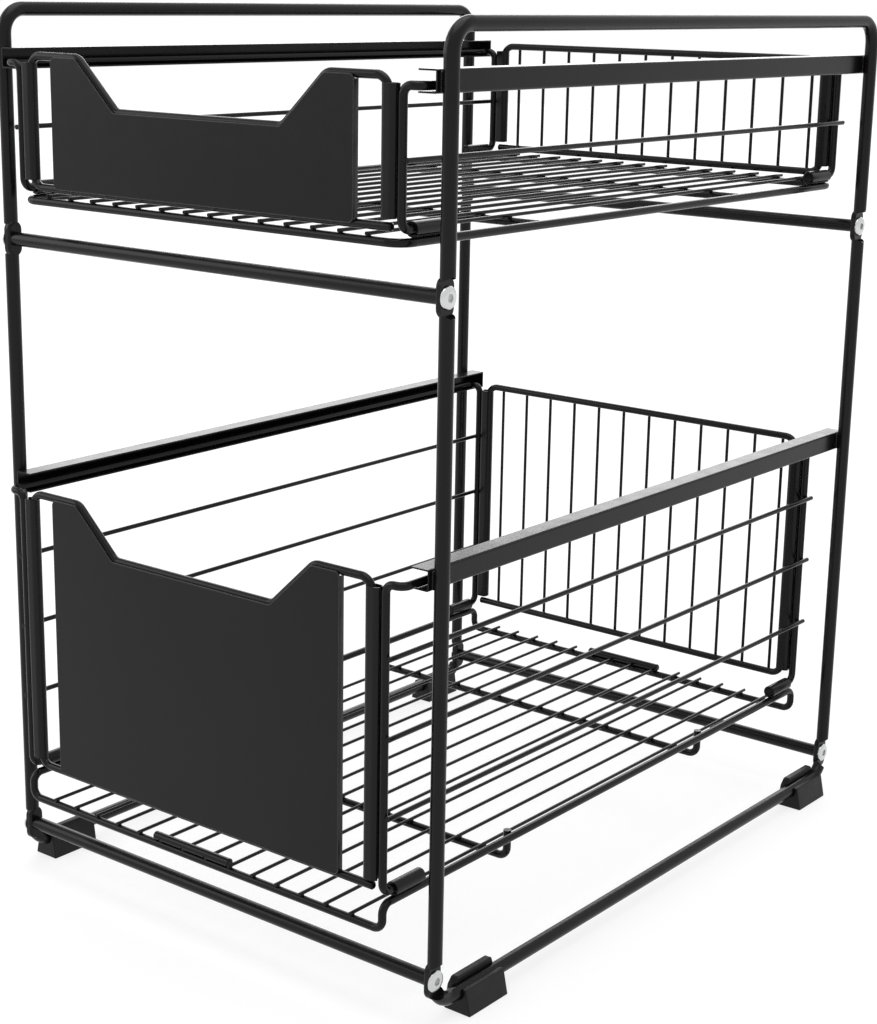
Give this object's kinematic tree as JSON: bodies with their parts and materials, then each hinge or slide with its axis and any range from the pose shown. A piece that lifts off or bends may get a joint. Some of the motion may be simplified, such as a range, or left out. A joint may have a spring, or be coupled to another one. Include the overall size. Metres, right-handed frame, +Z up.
{
  "type": "pull out cabinet basket",
  "caption": "Tiered pull-out cabinet organiser: a bent tube frame on plastic feet with wire baskets that slide on channel rails, each with a notched sheet front.",
  "frame": {"origin": "on the floor, under the middle of the whole outline with the baskets at rest", "axes": "+Z up, -Y towards the front from which the baskets pull out, +X to the right seen from the front"},
  "size_m": [0.2942, 0.3968, 0.454],
  "materials": {
    "black_powder_coat": "satin",
    "bright_zinc": "bright",
    "plain_zinc": "plain",
    "black_plastic": "matte"
  },
  "bodies": {
    "frame": {"side_frame_left": "black_powder_coat", "side_frame_right": "black_powder_coat", "cross_tube_front_mid": "black_powder_coat", "cross_tube_rear_mid": "black_powder_coat", "cross_tube_front_bottom": "black_powder_coat", "cross_tube_rear_bottom": "black_powder_coat", "rail_upper_left": "black_powder_coat", "rail_upper_right": "black_powder_coat", "rail_lower_left": "black_powder_coat", "rail_lower_right": "black_powder_coat", "frame_screws": "bright_zinc", "threaded_plugs": "plain_zinc", "foot_front_left": "black_plastic", "foot_front_right": "black_plastic", "foot_rear_left": "black_plastic", "foot_rear_right": "black_plastic"},
    "upper_basket": {"upper_grid_rim": "black_powder_coat", "upper_grid_cross_rods": "black_powder_coat", "upper_grid_wires": "black_powder_coat", "upper_side_left": "black_powder_coat", "upper_side_right": "black_powder_coat", "upper_side_wires": "black_powder_coat", "upper_clips": "black_powder_coat", "upper_front_frame": "black_powder_coat", "upper_front_plate": "black_powder_coat", "upper_front_channel_left": "black_powder_coat", "upper_front_channel_right": "black_powder_coat", "upper_rear_frame": "black_powder_coat", "upper_rear_wires": "black_powder_coat", "upper_rear_channel_left": "black_powder_coat", "upper_rear_channel_right": "black_powder_coat"},
    "lower_basket": {"lower_grid_rim": "black_powder_coat", "lower_grid_cross_rods": "black_powder_coat", "lower_grid_wires": "black_powder_coat", "lower_side_left": "black_powder_coat", "lower_side_right": "black_powder_coat", "lower_side_wires": "black_powder_coat", "lower_clips": "black_powder_coat", "lower_front_frame": "black_powder_coat", "lower_front_plate": "black_powder_coat", "lower_front_channel_left": "black_powder_coat", "lower_front_channel_right": "black_powder_coat", "lower_rear_frame": "black_powder_coat", "lower_rear_wires": "black_powder_coat", "lower_rear_channel_left": "black_powder_coat", "lower_rear_channel_right": "black_powder_coat", "lower_grid_bars": "black_powder_coat"}
  },
  "joints": [
    {"name": "upper_basket_slide", "type": "slide", "parent": "frame", "child": "upper_basket", "axis": [0, -1, 0], "range_m": [-0.001, 0.25]},
    {"name": "lower_basket_slide", "type": "slide", "parent": "frame", "child": "lower_basket", "axis": [0, -1, 0], "range_m": [-0.0085, 0.25]}
  ]
}
